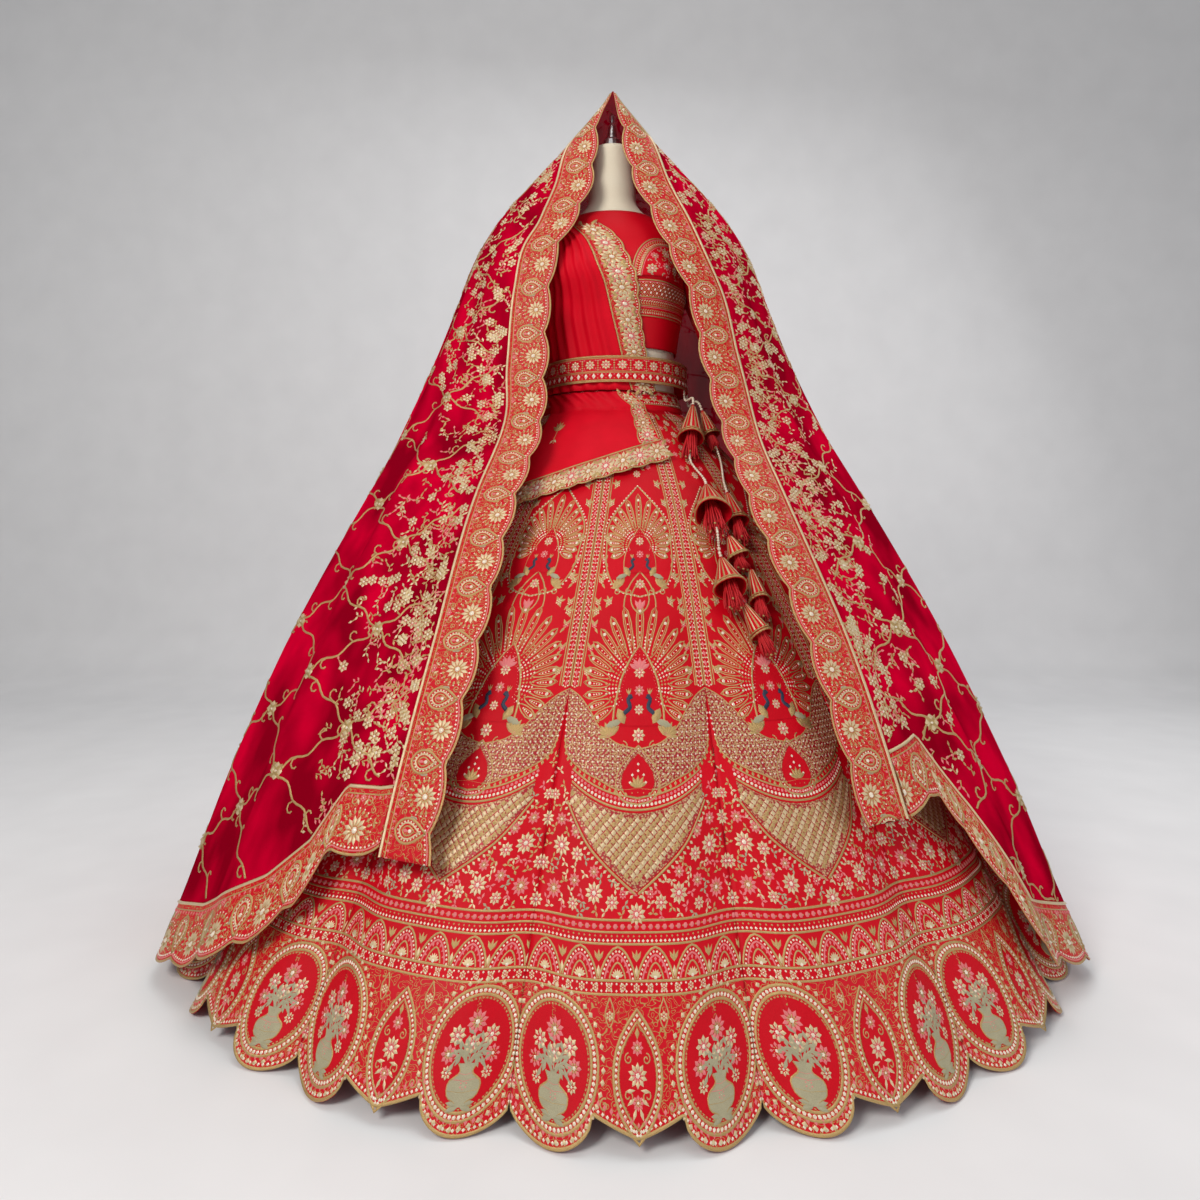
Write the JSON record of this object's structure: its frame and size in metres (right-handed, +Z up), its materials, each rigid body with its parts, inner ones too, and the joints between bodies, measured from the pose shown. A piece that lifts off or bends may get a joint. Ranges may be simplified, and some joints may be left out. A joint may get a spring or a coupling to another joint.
{
  "type": "bridal lehenga choli with veil on a limbless dress form",
  "caption": "Flared panelled skirt, short blouse, pleated drape, belt, hanging ornaments and a net veil, worn by a limbless dress form on a stand",
  "frame": {"origin": "on the floor, at the middle of the whole outfit's footprint", "axes": "+Z up, -Y the wearer's front, +X the viewer's right when facing the front"},
  "size_m": [1.5918, 1.294, 1.6329],
  "materials": {
    "form_linen": "plain woven linen over padding",
    "stand_steel": "satin metal cap, finial, pole and floor plate",
    "red_satin": "smooth red satin",
    "embroidered_satin": "red satin worked with gold thread, pearls and stones",
    "crimson_net": "sheer crimson net with gold vine embroidery",
    "red_chiffon": "soft pleated red chiffon",
    "pearl_beads": "strung pearls and gold beads on cord",
    "red_thread": "red silk thread tassels"
  },
  "bodies": {
    "root": {"belt": "embroidered_satin", "choli_back": "red_satin", "choli_cup_left": "embroidered_satin", "choli_cup_right": "embroidered_satin", "choli_hem_strip": "red_satin", "choli_sleeve_left": "embroidered_satin", "choli_sleeve_right": "embroidered_satin", "choli_underbust_band": "embroidered_satin", "choli_yoke": "red_satin", "drape_back": "red_chiffon", "drape_front": "red_chiffon", "drape_front_border": "embroidered_satin", "drape_tail": "red_chiffon", "drape_tail_border": "embroidered_satin", "form_base": "stand_steel", "form_cap": "stand_steel", "form_pole": "stand_steel", "form_torso": "form_linen", "kali_00": "embroidered_satin", "kali_01": "embroidered_satin", "kali_02": "embroidered_satin", "kali_03": "embroidered_satin", "kali_04": "embroidered_satin", "kali_05": "embroidered_satin", "kali_06": "embroidered_satin", "kali_07": "embroidered_satin", "kali_08": "embroidered_satin", "kali_09": "embroidered_satin", "kali_10": "embroidered_satin", "kali_11": "embroidered_satin", "kali_12": "embroidered_satin", "kali_13": "embroidered_satin", "latkan_bell_1": "embroidered_satin", "latkan_bell_2": "embroidered_satin", "latkan_bell_3": "embroidered_satin", "latkan_bell_4": "embroidered_satin", "latkan_bell_5": "embroidered_satin", "latkan_bell_6": "embroidered_satin", "latkan_bell_7": "embroidered_satin", "latkan_bell_8": "embroidered_satin", "latkan_cord_1": "pearl_beads", "latkan_cord_2": "pearl_beads", "latkan_cord_3": "pearl_beads", "latkan_cord_5": "pearl_beads", "latkan_cord_8": "pearl_beads", "latkan_tassel_1": "red_thread", "latkan_tassel_2": "red_thread", "latkan_tassel_3": "red_thread", "latkan_tassel_4": "red_thread", "latkan_tassel_5": "red_thread", "latkan_tassel_6": "red_thread", "latkan_tassel_7": "red_thread", "latkan_tassel_8": "red_thread", "veil_border_back": "embroidered_satin", "veil_border_end_left": "embroidered_satin", "veil_border_end_right": "embroidered_satin", "veil_border_front_left": "embroidered_satin", "veil_border_front_right": "embroidered_satin", "veil_net": "crimson_net", "waistband": "embroidered_satin"}
  },
  "joints": []
}
